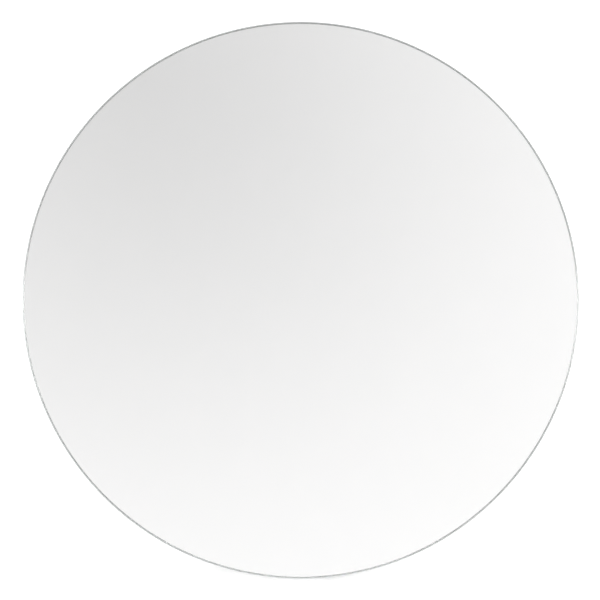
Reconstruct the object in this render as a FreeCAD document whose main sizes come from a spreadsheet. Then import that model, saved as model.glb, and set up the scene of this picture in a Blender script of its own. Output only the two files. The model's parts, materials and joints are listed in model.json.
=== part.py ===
import FreeCAD, Part
import math
import os
import re
import Sketcher

# Frameless round countertop mirror on a folding easel leg.
#
# The glass leans back on two heel feet and one hinged leg. A flat stay arm turns on a bracket under
# the hinge, and a pin through its other end slides in a slotted guide on the leg. Bracket, arm and
# hinge make a triangle with two equal sides, so the arm turns twice as far as the leg does.
#
# Axes: +X to the viewer's right, +Y to the rear, +Z up. The origin is on the counter, under the
# middle of the whole object. Lengths are in millimetres and angles in degrees.
DIMENSIONS = {
    # stance
    "lean": 20,                 # glass, back from upright
    "splay": 10,                # opened leg, back from upright
    "glass_lift": 2.5,          # lower front edge of the glass above the counter
    # glass, and the depth behind its front at which each layer ends
    "glass_radius": 150,
    "glass_arris": 0.7,
    "glass_back": 4,
    "silver_back": 4.1,
    "paint_back": 4.3,
    "tape_back": 5.3,
    "board_back": 11.3,
    "board_radius": 138,
    "board_round": 2,
    "tape_pitch": 50,
    "tape_half_width": 9.5,
    "tape_half_middle": 120,
    "tape_half_near": 110,
    "tape_half_far": 65,
    # leg hinge, measured from its own axis
    "hinge_rise": 48,           # axis above the middle of the glass
    "axis_height": 3.75,        # hinge and stay axes behind the board
    "knuckle_radius": 3.25,
    "knuckle_length": 8,
    "knuckle_gap": 0.15,
    "hinge_bore": 2.05,
    "hinge_pin_radius": 2,
    "hinge_pin_head": 2.7,
    "leaf_thickness": 1.2,
    "leaf_start": 3.6,
    "leaf_end": 26,
    "leaf_tongue": 1.5,
    "leaf_round": 3,
    "board_leaf_half": 20,
    "leg_leaf_half": 16,
    "leaf_hole_x": 13,
    "leaf_hole_near": 9.5,
    "leaf_hole_far": 20,
    "leg_rivet_x": 11,
    "leg_rivet_near": 12,
    "leg_rivet_far": 21,
    # easel leg, measured from the hinge axis
    "leg_inner": 2.95,
    "leg_outer": 2.05,
    "leg_top": 5,
    "leg_end": 181,
    "leg_half_top": 20,
    "leg_half_end": 23,
    "leg_corner": 7,
    "leg_edge_round": 0.8,
    "window_half": 8,
    "window_top": 43,
    "window_end": 152,
    "window_corner": 5,
    # rubber boot of the leg
    "boot_lip": 1.6,
    "boot_lip_top": 172,
    "boot_half": 22.6,
    "boot_round": 0.7,
    # stay, its bracket and its sliding guide
    "stay_length": 70,
    "arm_half_thickness": 1,
    "arm_half_width": 3,
    "arm_bore": 1.6,
    "ear_inner": 2.4,
    "ear_outer": 3.6,
    "ear_radius": 2.8,
    "ear_slope": 60,
    "pivot_pin_radius": 1.5,
    "pivot_pin_head": 2.4,
    "pivot_bore": 1.55,
    "bracket_half": 6.8,
    "bracket_low": 5,
    "bracket_high": 23,
    "bracket_round": 2,
    "bracket_slot_half": 1.7,
    "bracket_slot_end": 4.8,
    "bracket_hole_near": 9.5,
    "bracket_hole_far": 18,
    "washer_inner": 1.1,
    "washer_outer": 2.3,
    "washer_radius": 2.2,
    "slide_pin_radius": 1.2,
    "slide_pin_head": 1.75,
    "slide_pin_seat": 3.8,
    "slide_pin_bore": 1.25,
    "slot_radius": 1.3,
    "slot_spare": 0.2,
    "guide_half": 15,
    "guide_top": 112,
    "guide_end": 151,
    "guide_bar": 3,
    "guide_round": 3,
    "guide_reach": 2.6,
    "guide_ear_top": 116,
    "guide_ear_end": 146,
    "guide_rivet_x": 11.5,
    "guide_rivet_top": 117,
    "guide_rivet_end": 146,
    # heel feet and their rubber pads
    "heel_inner": 26,
    "heel_width": 12,
    "heel_top": 105,            # upper end below the middle of the glass
    "heel_bend": 123,
    "heel_low": 130.5,
    "heel_plate": 3,
    "heel_front": 20,           # depth at which the sole starts and ends
    "heel_rear": 30,
    "heel_corner": 1.2,
    "heel_hole_high": 110,
    "heel_hole_low": 117.5,
    "pad_thickness": 2,
    "pad_inset": 0.4,
    "pad_round": 0.6,
    # felt dots that the folded leg rests on
    "dot_x": 14,
    "dot_drop": 116,
    "dot_radius": 5,
    "dot_thickness": 0.6,
    # fasteners
    "screw_radius": 1.4,
    "screw_bite": 4.8,
    "pilot_radius": 1.45,
    "pilot_depth": 5,
    "screw_clearance": 1.6,
    "screw_head": 3.2,
    "small_screw_head": 2.6,
    "screw_head_height": 1.6,
    "screw_head_round": 1.2,
    "recess_depth": 0.9,
    "recess_long": 1.7,
    "recess_short": 0.4,
    "rivet_radius": 1.5,
    "rivet_hole": 1.55,
    "rivet_head": 2.9,
    "rivet_head_height": 1,
    "rivet_head_round": 0.8,
    "rivet_tail_depth": 0.2,
    "pin_head_height": 0.9,
}

# The hinge axis on the leaning head, from the middle of the glass front.
HINGE_DEPTH = "(board_back + axis_height)"
HINGE_Z = f"(glass_lift + (glass_radius + hinge_rise) * cos(lean) - {HINGE_DEPTH} * sin(lean))"

# Rearmost corner of the boot and foremost edge of the glass, both from the middle of the glass.
REAR_Y = (f"(hinge_rise * sin(lean) + {HINGE_DEPTH} * cos(lean) + {HINGE_Z} * tan(splay)"
          " + (leg_outer + boot_lip) / cos(splay))")
FRONT_Y = "((glass_arris - glass_radius) * sin(lean))"

# Middle of the glass front: the whole object is centred on the origin, front to rear.
CENTRE_Y = f"(-({REAR_Y} + {FRONT_Y}) / 2)"
CENTRE_Z = "(glass_lift + glass_radius * cos(lean))"

STAY_RISE = "(hinge_rise - stay_length)"
CLOSED_REACH = "(2 * stay_length)"
OPEN_REACH = "(2 * stay_length * cos(lean + splay))"

TOUCH = 1e-4        # how near an edge lies to a face that it belongs to
NEAR = 1            # how near an edge lies to the end of a shape that it is at
KNUCKLES = 5        # three on the board's leaf and two on the leg's
PLANES = {"X": "YZ_Plane", "Y": "XZ_Plane", "Z": "XY_Plane"}

doc = FreeCAD.newDocument("countertop_mirror")
sheet = doc.addObject("Spreadsheet::Sheet", "dim")


def fill_sheet():
    """Write each driving dimension as a plain number with its name as alias."""
    for row, (name, value) in enumerate(DIMENSIONS.items(), 1):
        sheet.set(f"A{row}", name)
        sheet.set(f"B{row}", str(value))
        sheet.setAlias(f"B{row}", name)
    doc.recompute()


def in_sheet(formula):
    """The formula with each driving dimension's name pointing at its cell."""
    return re.sub(r"[a-z_]+", lambda m: f"dim.{m[0]}" if m[0] in DIMENSIONS else m[0], formula)


# ---- frames --------------------------------------------------------------------------------------

def head_point(depth, rise):
    """Formulas for the y and z of a point of the leaning head."""
    y = f"{CENTRE_Y} + ({rise}) * sin(lean) + ({depth}) * cos(lean)"
    z = f"{CENTRE_Z} + ({rise}) * cos(lean) - ({depth}) * sin(lean)"
    return y, z


HEAD = (*head_point("0", "0"), "-lean")
HINGE = (*head_point(HINGE_DEPTH, "hinge_rise"), "-lean")
PIVOT = (*head_point(HINGE_DEPTH, STAY_RISE), "-lean")
LEG = (*head_point(HINGE_DEPTH, "hinge_rise"), "splay")
STAY = (*head_point(HINGE_DEPTH, STAY_RISE), "lean + 2 * splay")
SOLE_DROP = "(glass_radius - ((pad_thickness - glass_lift) / cos(lean) + heel_front * tan(lean)))"
SOLE = (*head_point("heel_front", f"-{SOLE_DROP}"), "0")


def new_body(name, frame):
    """A body that stands in one of the frames, turned about X by the frame's angle."""
    y, z, angle = frame
    body = doc.addObject("PartDesign::Body", name)
    body.Label = name
    body.Placement = FreeCAD.Placement(FreeCAD.Vector(), FreeCAD.Rotation(FreeCAD.Vector(1, 0, 0), 1))
    body.setExpression("Placement.Base.y", in_sheet(y))
    body.setExpression("Placement.Base.z", in_sheet(z))
    body.setExpression("Placement.Rotation.Angle", in_sheet(angle))
    return body


# ---- outlines ------------------------------------------------------------------------------------

def bind(sketch, kind, formula, *where):
    """Add a constraint whose value is a formula of the driving dimensions."""
    index = sketch.addConstraint(Sketcher.Constraint(kind, *where, 1))
    sketch.setExpression(f"Constraints[{index}]", in_sheet(formula))


def polygon(*corners):
    """Closed outline through corners, each a pair of formulas."""
    def draw(sketch):
        first = sketch.GeometryCount
        count = len(corners)
        turns = [2 * math.pi * i / count for i in range(count + 1)]
        rough = [FreeCAD.Vector(math.cos(turn), math.sin(turn), 0) for turn in turns]
        for start, end in zip(rough, rough[1:]):
            sketch.addGeometry(Part.LineSegment(start, end), False)
        for i in range(count):
            joined = first + (i + 1) % count
            sketch.addConstraint(Sketcher.Constraint("Coincident", first + i, 2, joined, 1))
        for i, (across, up) in enumerate(corners, first):
            bind(sketch, "DistanceX", across, -1, 1, i, 1)
            bind(sketch, "DistanceY", up, -1, 1, i, 1)
    return draw


def rectangle(left, right, low, high):
    return polygon((left, low), (right, low), (right, high), (left, high))


def rectangles(half_across, half_up, centres):
    """One rectangle about each centre."""
    shapes = [rectangle(f"{x} - {half_across}", f"{x} + {half_across}",
                        f"{z} - {half_up}", f"{z} + {half_up}") for x, z in centres]

    def draw(sketch):
        for shape in shapes:
            shape(sketch)
    return draw


def circles(radius, centres=(("0", "0"),)):
    """One circle about each centre."""
    def draw(sketch):
        for across, up in centres:
            place = FreeCAD.Vector(0, 0, 0)
            index = sketch.addGeometry(Part.Circle(place, FreeCAD.Vector(0, 0, 1), 1), False)
            bind(sketch, "Radius", radius, index)
            bind(sketch, "DistanceX", across, -1, 1, index, 3)
            bind(sketch, "DistanceY", up, -1, 1, index, 3)
    return draw


def ring(outer, inner, centre=("0", "0")):
    def draw(sketch):
        circles(outer, [centre])(sketch)
        circles(inner, [centre])(sketch)
    return draw


def mirrored_pairs(x, *rises):
    """Centres at x and -x at each rise."""
    return [(f"{sign}({x})", f"{rise}") for rise in rises for sign in ("-", "")]


# ---- features ------------------------------------------------------------------------------------

def new_sketch(body, axis, offset, outline):
    """Sketch square to a local axis, at an offset along it. The XZ plane faces -Y."""
    plane = next(f for f in body.Origin.OriginFeatures if f.Role == PLANES[axis])
    sketch = body.newObject("Sketcher::SketchObject", f"{body.Label}_outline")
    sketch.AttachmentSupport = [(plane, "")]
    sketch.MapMode = "FlatFace"
    sense = "-" if axis == "Y" else ""
    sketch.setExpression("AttachmentOffset.Base.z", in_sheet(f"{sense}({offset})"))
    outline(sketch)
    return sketch


def grow(body, axis, start, length, outline):
    """Add material from start, along the positive axis."""
    pad = body.newObject("PartDesign::Pad", f"{body.Label}_pad")
    pad.Profile = new_sketch(body, axis, start, outline)
    pad.setExpression("Length", in_sheet(length))
    pad.Reversed = axis == "Y"
    body.Tip = pad


def cut(body, axis, start, length, outline):
    """Remove material from start, along the positive axis, and make sure that some was there."""
    doc.recompute()
    before = body.Tip.Shape.Volume
    pocket = body.newObject("PartDesign::Pocket", f"{body.Label}_pocket")
    pocket.Profile = new_sketch(body, axis, start, outline)
    pocket.setExpression("Length", in_sheet(length))
    pocket.Reversed = axis != "Y"
    body.Tip = pocket
    doc.recompute()
    if pocket.Shape.Volume >= before:
        raise RuntimeError(f"a pocket of {body.Label} removes nothing")


def turn(body, sketch_axis, start, spin, outline):
    """Turn an outline once about one of its sketch's own axes."""
    revolution = body.newObject("PartDesign::Revolution", f"{body.Label}_turned")
    sketch = new_sketch(body, sketch_axis, start, outline)
    revolution.Profile = sketch
    revolution.ReferenceAxis = (sketch, [spin])
    revolution.Angle = 360
    body.Tip = revolution


def round_edges(body, radius, wanted):
    """Round the edges of the newest feature that wanted(edge box, shape box) picks."""
    doc.recompute()
    base = body.Tip
    box = base.Shape.BoundBox
    names = [f"Edge{i}" for i, edge in enumerate(base.Shape.Edges, 1) if wanted(edge.BoundBox, box)]
    fillet = body.newObject("PartDesign::Fillet", f"{body.Label}_round")
    fillet.Base = (base, names)
    fillet.setExpression("Radius", in_sheet(radius))
    body.Tip = fillet


def on_rear(edge, shape):
    return edge.YMin > shape.YMax - TOUCH


def on_front(edge, shape):
    return edge.YMax < shape.YMin + TOUCH


def on_underside(edge, shape):
    return edge.ZMax < shape.ZMin + TOUCH


def along_depth(edge, shape):
    return edge.XLength < TOUCH and edge.ZLength < TOUCH


def along_width(edge, shape):
    return edge.YLength < TOUCH and edge.ZLength < TOUCH


def top_corner(edge, shape):
    return along_depth(edge, shape) and edge.ZMin > shape.ZMax - NEAR


def foot_corner(edge, shape):
    return along_depth(edge, shape) and edge.ZMax < shape.ZMin + NEAR


def boot_corner(edge, shape):
    """Edge across the boot's outer face, other than the one on the counter."""
    return on_rear(edge, shape) and edge.ZMax > shape.ZMin + NEAR


def heel_corner(edge, shape):
    """Edge across the heel at its bend or its upper rear corner, clear of the board and the sole."""
    return along_width(edge, shape) and edge.YMin > shape.YMin + NEAR and edge.ZMin > shape.ZMin + NEAR


def outer_corner(edge, shape):
    """Straight edge along the depth at the side of the leg."""
    to_side = min(edge.XMin - shape.XMin, shape.XMax - edge.XMax)
    taper = sheet.get("leg_half_end") - sheet.get("leg_half_top")
    return along_depth(edge, shape) and to_side < taper + NEAR


def window_corner(edge, shape):
    return along_depth(edge, shape) and not outer_corner(edge, shape)


# ---- fasteners -----------------------------------------------------------------------------------

def screws(name, frame, seat, grip, head, centres):
    """Round-headed cross-recess screws, driven towards the glass."""
    body = new_body(name, frame)
    grow(body, "Y", seat, "screw_head_height", circles(head, centres))
    round_edges(body, "screw_head_round", on_rear)
    grow(body, "Y", f"{seat} - ({grip})", grip, circles("screw_radius", centres))
    recess = f"{seat} + screw_head_height - recess_depth"
    cut(body, "Y", recess, "recess_depth", rectangles("recess_long", "recess_short", centres))
    cut(body, "Y", recess, "recess_depth", rectangles("recess_short", "recess_long", centres))


def rivets(name, centres):
    """Domed rivets through a steel plate and the leg, set just under the leg's inner face."""
    body = new_body(name, LEG)
    seat = "leg_outer + leaf_thickness"
    shank = "leg_inner + leg_outer + leaf_thickness - rivet_tail_depth"
    grow(body, "Y", seat, "rivet_head_height", circles("rivet_head", centres))
    round_edges(body, "rivet_head_round", on_rear)
    grow(body, "Y", "rivet_tail_depth - leg_inner", shank, circles("rivet_radius", centres))


def headed_pin(name, frame, radius, seat, head, drop="0"):
    """Pin along X with a peened head at each end."""
    body = new_body(name, frame)
    end = f"{seat} + pin_head_height"
    turn(body, "Z", f"-({drop})", "H_Axis", polygon(
        (f"-({end})", "0"), (f"-({end})", head), (f"-({seat})", head), (f"-({seat})", radius),
        (seat, radius), (seat, head), (end, head), (end, "0")))


def washers(name, frame, bore, drop="0"):
    """A washer on each side of the arm."""
    body = new_body(name, frame)
    for start in ("washer_inner", "-washer_outer"):
        grow(body, "X", start, "washer_outer - washer_inner",
             ring("washer_radius", bore, ("0", f"-({drop})")))


# ---- glass and board -----------------------------------------------------------------------------

def layer(name, front, rear, outline):
    """Flat layer of the head between two depths."""
    body = new_body(name, HEAD)
    grow(body, "Y", front, f"{rear} - {front}", outline)
    return body


def mirror_glass():
    body = new_body("mirror_glass", HEAD)
    face = "glass_radius - glass_arris"
    turn(body, "Z", "0", "V_Axis", polygon(
        ("0", "0"), (face, "0"), ("glass_radius", "glass_arris"),
        ("glass_radius", "glass_back - glass_arris"), (face, "glass_back"), ("0", "glass_back")))


def foam_tape_strips():
    lengths = ("tape_half_far", "tape_half_near", "tape_half_middle", "tape_half_near", "tape_half_far")

    def draw(sketch):
        for place, half in enumerate(lengths, -2):
            rectangles("tape_half_width", half, [(f"{place} * tape_pitch", "0")])(sketch)
    layer("foam_tape_strips", "paint_back", "tape_back", draw)


HINGE_HOLES = mirrored_pairs("leaf_hole_x", "leaf_hole_near", "leaf_hole_far")
BRACKET_HOLES = [("0", "bracket_hole_near"), ("0", "bracket_hole_far")]
HEEL_MIDDLE = "heel_inner + heel_width / 2"
HEEL_HOLES = mirrored_pairs(HEEL_MIDDLE, "-heel_hole_high", "-heel_hole_low")
LEG_RIVETS = mirrored_pairs("leg_rivet_x", "-leg_rivet_near", "-leg_rivet_far")
GUIDE_RIVETS = mirrored_pairs("guide_rivet_x", "-guide_rivet_top", "-guide_rivet_end")


def back_board():
    body = layer("back_board", "tape_back", "board_back", circles("board_radius"))
    round_edges(body, "board_round", on_rear)
    pilots = [(x, f"hinge_rise + {z}") for x, z in HINGE_HOLES]
    pilots += [(x, f"{STAY_RISE} + {z}") for x, z in BRACKET_HOLES]
    pilots += HEEL_HOLES
    cut(body, "Y", "board_back - pilot_depth", "pilot_depth", circles("pilot_radius", pilots))


def leg_rest_dots():
    body = new_body("leg_rest_dots", HEAD)
    dots = circles("dot_radius", mirrored_pairs("dot_x", "-dot_drop"))
    grow(body, "Y", "board_back", "dot_thickness", dots)


# ---- hinge ---------------------------------------------------------------------------------------

def knuckles(body, places, plate_front, tongue_start, tongue_end):
    """Rolled knuckles at the given places, and the tongues that join them to the leaf's plate."""
    for place in places:
        low = f"{place} * knuckle_length - knuckle_length / 2 + knuckle_gap"
        length = "knuckle_length - 2 * knuckle_gap"
        grow(body, "Y", plate_front, "leaf_thickness",
             rectangle(low, f"{low} + {length}", tongue_start, tongue_end))
        grow(body, "X", low, length, circles("knuckle_radius"))
    span = f"{KNUCKLES} * knuckle_length"
    cut(body, "X", f"-{span} / 2", span, circles("hinge_bore"))


def board_hinge_leaf():
    body = new_body("board_hinge_leaf", HINGE)
    grow(body, "Y", "-axis_height", "leaf_thickness",
         rectangle("-board_leaf_half", "board_leaf_half", "leaf_start", "leaf_end"))
    round_edges(body, "leaf_round", top_corner)
    knuckles(body, (-2, 0, 2), "-axis_height", "-leaf_tongue", "leaf_start")
    cut(body, "Y", "-axis_height", "leaf_thickness", circles("screw_clearance", HINGE_HOLES))


def leg_hinge_leaf():
    body = new_body("leg_hinge_leaf", LEG)
    grow(body, "Y", "leg_outer", "leaf_thickness",
         rectangle("-leg_leaf_half", "leg_leaf_half", "-leaf_end", "-leaf_start"))
    round_edges(body, "leaf_round", foot_corner)
    knuckles(body, (-1, 1), "leg_outer", "-leaf_start", "0")
    cut(body, "Y", "leg_outer", "leaf_thickness", circles("rivet_hole", LEG_RIVETS))


# ---- leg -----------------------------------------------------------------------------------------

def easel_leg():
    body = new_body("easel_leg", LEG)
    depth = "leg_inner + leg_outer"
    grow(body, "Y", "-leg_inner", depth, polygon(
        ("-leg_half_end", "-leg_end"), ("leg_half_end", "-leg_end"),
        ("leg_half_top", "-leg_top"), ("-leg_half_top", "-leg_top")))
    round_edges(body, "leg_corner", top_corner)
    cut(body, "Y", "-leg_inner", depth,
        rectangle("-window_half", "window_half", "-window_end", "-window_top"))
    round_edges(body, "window_corner", window_corner)
    round_edges(body, "leg_edge_round", on_rear)
    round_edges(body, "leg_edge_round", on_front)
    cut(body, "Y", "-leg_inner", depth, circles("rivet_hole", LEG_RIVETS + GUIDE_RIVETS))


def leg_foot():
    """Rubber boot under the leg's end, with a lip up its outer face and a sole on the counter."""
    body = new_body("leg_foot", LEG)
    lip = "(leg_outer + boot_lip)"
    sole_rear = f"-({HINGE_Z} + {lip} * sin(splay)) / cos(splay)"
    sole_front = f"-({HINGE_Z} - leg_inner * sin(splay)) / cos(splay)"
    grow(body, "X", "-boot_half", "2 * boot_half", polygon(
        ("-leg_inner", "-leg_end"), ("leg_outer", "-leg_end"), ("leg_outer", "-boot_lip_top"),
        (lip, "-boot_lip_top"), (lip, sole_rear), ("-leg_inner", sole_front)))
    round_edges(body, "boot_round", boot_corner)


# ---- stay ----------------------------------------------------------------------------------------

def ears(body, foot_y):
    """Bracket ears: a round eye about the axis, sloping down to the base."""
    eye_y = "ear_radius * cos(ear_slope)"
    eye_z = "ear_radius * sin(ear_slope)"
    slope_foot = f"{eye_z} + ({eye_y} - ({foot_y})) / tan(ear_slope)"
    for start in ("ear_inner", "-ear_outer"):
        thickness = "ear_outer - ear_inner"
        grow(body, "X", start, thickness, polygon(
            (foot_y, "-ear_radius"), ("0", "-ear_radius"), (eye_y, eye_z), (foot_y, slope_foot)))
        grow(body, "X", start, thickness, circles("ear_radius"))


def stay_bracket():
    body = new_body("stay_bracket", PIVOT)
    grow(body, "Y", "-axis_height", "leaf_thickness",
         rectangle("-bracket_half", "bracket_half", "-bracket_low", "bracket_high"))
    round_edges(body, "bracket_round", along_depth)
    cut(body, "Y", "-axis_height", "leaf_thickness",
        rectangle("-bracket_slot_half", "bracket_slot_half", "-bracket_low", "bracket_slot_end"))
    ears(body, "leaf_thickness / 2 - axis_height")
    cut(body, "X", "-ear_outer", "2 * ear_outer", circles("pivot_bore"))
    cut(body, "Y", "-axis_height", "leaf_thickness", circles("screw_clearance", BRACKET_HOLES))


def stay_arm():
    """Flat arm with a round end and a hole at each axis."""
    body = new_body("stay_arm", STAY)
    thickness = "2 * arm_half_thickness"
    far_end = ("0", "-stay_length")
    grow(body, "X", "-arm_half_thickness", thickness,
         rectangle("-arm_half_width", "arm_half_width", "-stay_length", "0"))
    grow(body, "X", "-arm_half_thickness", thickness, circles("arm_half_width"))
    grow(body, "X", "-arm_half_thickness", thickness, circles("arm_half_width", [far_end]))
    cut(body, "X", "-arm_half_thickness", thickness, circles("arm_bore"))
    cut(body, "X", "-arm_half_thickness", thickness, circles("slide_pin_bore", [far_end]))


def slide_guide():
    """Fork on the leg's outer face with two slotted ears that reach into the window."""
    body = new_body("slide_guide", LEG)
    grow(body, "Y", "leg_outer", "leaf_thickness",
         rectangle("-guide_half", "guide_half", "-guide_end", "-guide_top"))
    round_edges(body, "guide_round", along_depth)
    cut(body, "Y", "leg_outer", "leaf_thickness",
        rectangle("-ear_inner", "ear_inner", "guide_bar - guide_end", "-guide_top"))
    for start in ("ear_inner", "-ear_outer"):
        grow(body, "X", start, "ear_outer - ear_inner", rectangle(
            "-guide_reach", "leg_outer + leaf_thickness", "-guide_ear_end", "-guide_ear_top"))
    slot_end = f"({CLOSED_REACH} + slot_spare)"
    cut(body, "X", "-ear_outer", "2 * ear_outer",
        rectangle("-slot_radius", "slot_radius", f"-{slot_end}", f"-{OPEN_REACH}"))
    cut(body, "X", "-ear_outer", "2 * ear_outer",
        circles("slot_radius", [("0", f"-{OPEN_REACH}"), ("0", f"-{slot_end}")]))
    cut(body, "Y", "leg_outer", "leaf_thickness", circles("rivet_hole", GUIDE_RIVETS))


# ---- heels ---------------------------------------------------------------------------------------

def heel_foot(name, start):
    """Foot that drops from a plate on the board, behind the glass, to a level sole."""
    body = new_body(name, HEAD)
    sole_slope = "(pad_thickness - glass_lift) / cos(lean) - glass_radius"
    plate_rear = "board_back + heel_plate"
    grow(body, "X", start, "heel_width", polygon(
        ("board_back", "-heel_top"), (plate_rear, "-heel_top"), (plate_rear, "-heel_bend"),
        ("heel_rear", f"{sole_slope} + heel_rear * tan(lean)"),
        ("heel_front", f"{sole_slope} + heel_front * tan(lean)"), ("board_back", "-heel_low")))
    round_edges(body, "heel_corner", heel_corner)
    side = "-" if start.startswith("-") else ""
    holes = [(f"{side}({HEEL_MIDDLE})", f"-{z}") for z in ("heel_hole_high", "heel_hole_low")]
    cut(body, "Y", "board_back", "heel_plate", circles("screw_clearance", holes))


def heel_pad(name, start):
    body = new_body(name, SOLE)
    grow(body, "Z", "-pad_thickness", "pad_thickness", rectangle(
        f"{start} + pad_inset", f"{start} + heel_width - pad_inset",
        "pad_inset", "(heel_rear - heel_front) / cos(lean) - pad_inset"))
    round_edges(body, "pad_round", on_underside)


# ---- assembly ------------------------------------------------------------------------------------

def build_head():
    face = circles("glass_radius - glass_arris")
    mirror_glass()
    layer("silver_coating", "glass_back", "silver_back", face)
    layer("backing_paint", "silver_back", "paint_back", face)
    foam_tape_strips()
    back_board()
    leg_rest_dots()
    board_hinge_leaf()
    headed_pin("hinge_pin", HINGE, "hinge_pin_radius", f"{KNUCKLES} * knuckle_length / 2", "hinge_pin_head")
    plate_rear = "leaf_thickness - axis_height"
    screws("hinge_leaf_screws", HINGE, plate_rear, "leaf_thickness + screw_bite", "screw_head",
           HINGE_HOLES)
    stay_bracket()
    screws("stay_bracket_screws", PIVOT, plate_rear, "leaf_thickness + screw_bite", "small_screw_head",
           BRACKET_HOLES)
    headed_pin("stay_pivot_pin", PIVOT, "pivot_pin_radius", "ear_outer", "pivot_pin_head")
    washers("stay_pivot_washers", PIVOT, "pivot_bore")
    for side, start in (("left", "-heel_inner - heel_width"), ("right", "heel_inner")):
        heel_foot(f"{side}_heel_foot", start)
        heel_pad(f"{side}_heel_pad", start)
    screws("heel_screws", HEAD, "board_back + heel_plate", "heel_plate + screw_bite", "screw_head",
           HEEL_HOLES)


def build_leg():
    leg_hinge_leaf()
    rivets("hinge_leaf_rivets", LEG_RIVETS)
    easel_leg()
    leg_foot()
    slide_guide()
    rivets("slide_guide_rivets", GUIDE_RIVETS)


def build_stay():
    stay_arm()
    headed_pin("slide_pin", STAY, "slide_pin_radius", "slide_pin_seat", "slide_pin_head", "stay_length")
    washers("slide_washers", STAY, "slide_pin_bore", "stay_length")


def check():
    """Stop if any object failed or any sub-part has no sound shape."""
    for item in doc.Objects:
        if "Invalid" in item.State or "Error" in item.State:
            raise RuntimeError(f"{item.Name} failed: {item.State}")
    for body in parts():
        if body.Shape.isNull() or not body.Shape.isValid():
            raise RuntimeError(f"{body.Label} has no sound shape")


def parts():
    return [item for item in doc.Objects if item.isDerivedFrom("PartDesign::Body")]


def export():
    os.makedirs("parts", exist_ok=True)
    for body in parts():
        body.Shape.exportStep(f"parts/{body.Label}.step")
        box = body.Shape.BoundBox
        print(f"{body.Label:22} solids {len(body.Shape.Solids)}  volume {body.Shape.Volume:10.2f}"
              f"  y {box.YMin:8.2f} {box.YMax:8.2f}  z {box.ZMin:8.2f} {box.ZMax:8.2f}")


def print_axes():
    """Where the two hinge axes cross the middle plane."""
    for label, name in (("leg hinge axis", "hinge_pin"), ("stay pivot axis", "stay_pivot_pin")):
        place = doc.getObject(name).Placement.Base
        print(f"{label}: y {place.y:.4f}  z {place.z:.4f}")


fill_sheet()
build_head()
build_leg()
build_stay()
doc.recompute()
check()
export()
print_axes()
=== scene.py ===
import json
import math
import random

import bmesh
import bpy
from mathutils import Matrix, Vector


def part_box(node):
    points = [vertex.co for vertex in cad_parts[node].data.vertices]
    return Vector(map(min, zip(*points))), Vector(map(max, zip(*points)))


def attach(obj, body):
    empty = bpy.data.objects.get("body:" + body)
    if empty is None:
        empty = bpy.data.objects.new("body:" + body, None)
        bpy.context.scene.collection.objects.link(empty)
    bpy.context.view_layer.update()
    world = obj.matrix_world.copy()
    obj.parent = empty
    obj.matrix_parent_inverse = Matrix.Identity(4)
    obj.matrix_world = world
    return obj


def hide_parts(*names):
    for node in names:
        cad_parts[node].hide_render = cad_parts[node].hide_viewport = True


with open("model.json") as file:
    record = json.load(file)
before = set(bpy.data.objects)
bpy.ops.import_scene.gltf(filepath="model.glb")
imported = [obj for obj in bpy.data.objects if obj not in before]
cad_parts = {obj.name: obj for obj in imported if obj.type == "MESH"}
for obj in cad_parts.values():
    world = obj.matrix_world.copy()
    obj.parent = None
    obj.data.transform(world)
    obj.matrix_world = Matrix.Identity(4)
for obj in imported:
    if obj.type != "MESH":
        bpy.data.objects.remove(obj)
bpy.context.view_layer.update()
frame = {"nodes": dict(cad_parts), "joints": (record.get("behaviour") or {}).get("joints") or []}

# Frameless round countertop mirror on a folding easel leg, seen square-on from the front.
#
# Pieces are built in local frames, in millimetres: X across, Y to the rear, Z up along the glass, the
# leg or the arm. The frames and the outer sizes are read from the CAD nodes, and the smaller sizes
# that a node's box does not give are named where they are used.
MM = 0.001
ACROSS = Vector((1, 0, 0))
rng = random.Random(7)

EDGE = 0.15             # broken edge of a pressed steel piece
SHEET = 1.2             # thickness of the pressed steel
SHARP = 35              # degrees between faces from which an edge is shaded sharp
ROOM = 0.02             # hair of room, so that no two faces lie in one plane
FIT = 0.05              # room round a pin
HINGE_PIN = 2.0         # radii
PIVOT_PIN = 1.5
SLIDE_PIN = 1.2
SCREW_HOLE = 1.6
RIVET_HOLE = 1.55
EAR_STARTS = (-3.6, 2.4)        # left faces of the two ears that hold a pin


# ---- frames --------------------------------------------------------------------------------------

def middle(node):
    low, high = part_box(node)
    return (low + high) / 2


def upright_frame(origin, up):
    """Frame at origin with Z along up, X across and Y to the rear."""
    up = up.normalized()
    columns = Matrix((ACROSS, up.cross(ACROSS), up)).transposed()
    return Matrix.Translation(origin) @ columns.to_4x4()


def points_in(where, node):
    """Corners of a CAD node's mesh in a local frame, in millimetres."""
    back = where.inverted()
    return [back @ v.co / MM for v in frame["nodes"][node].data.vertices]


def box_in(where, node):
    """Lowest and highest corner of a CAD node in a local frame, in millimetres."""
    points = points_in(where, node)
    low = Vector(min(p[i] for p in points) for i in range(3))
    high = Vector(max(p[i] for p in points) for i in range(3))
    return low, high


JOINTS = {j["name"]: Vector(j["pos_m"]) for j in frame["joints"]}
HINGE_AXIS = JOINTS["leg_hinge"]
STAY_AXIS = JOINTS["stay_pivot"]
SLIDE_AXIS = middle("slide_pin")

HINGE = upright_frame(HINGE_AXIS, HINGE_AXIS - STAY_AXIS)
PIVOT = upright_frame(STAY_AXIS, HINGE_AXIS - STAY_AXIS)
LEG = upright_frame(HINGE_AXIS, HINGE_AXIS - SLIDE_AXIS)
STAY = upright_frame(STAY_AXIS, STAY_AXIS - SLIDE_AXIS)
GLASS_MIDDLE = upright_frame(middle("mirror_glass"), HINGE_AXIS - STAY_AXIS)
GLASS_HALF = box_in(GLASS_MIDDLE, "mirror_glass")[1].y
HEAD = GLASS_MIDDLE @ Matrix.Translation((0, -GLASS_HALF * MM, 0))


# ---- outlines: closed lists of points in a plane ---------------------------------------------------

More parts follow.
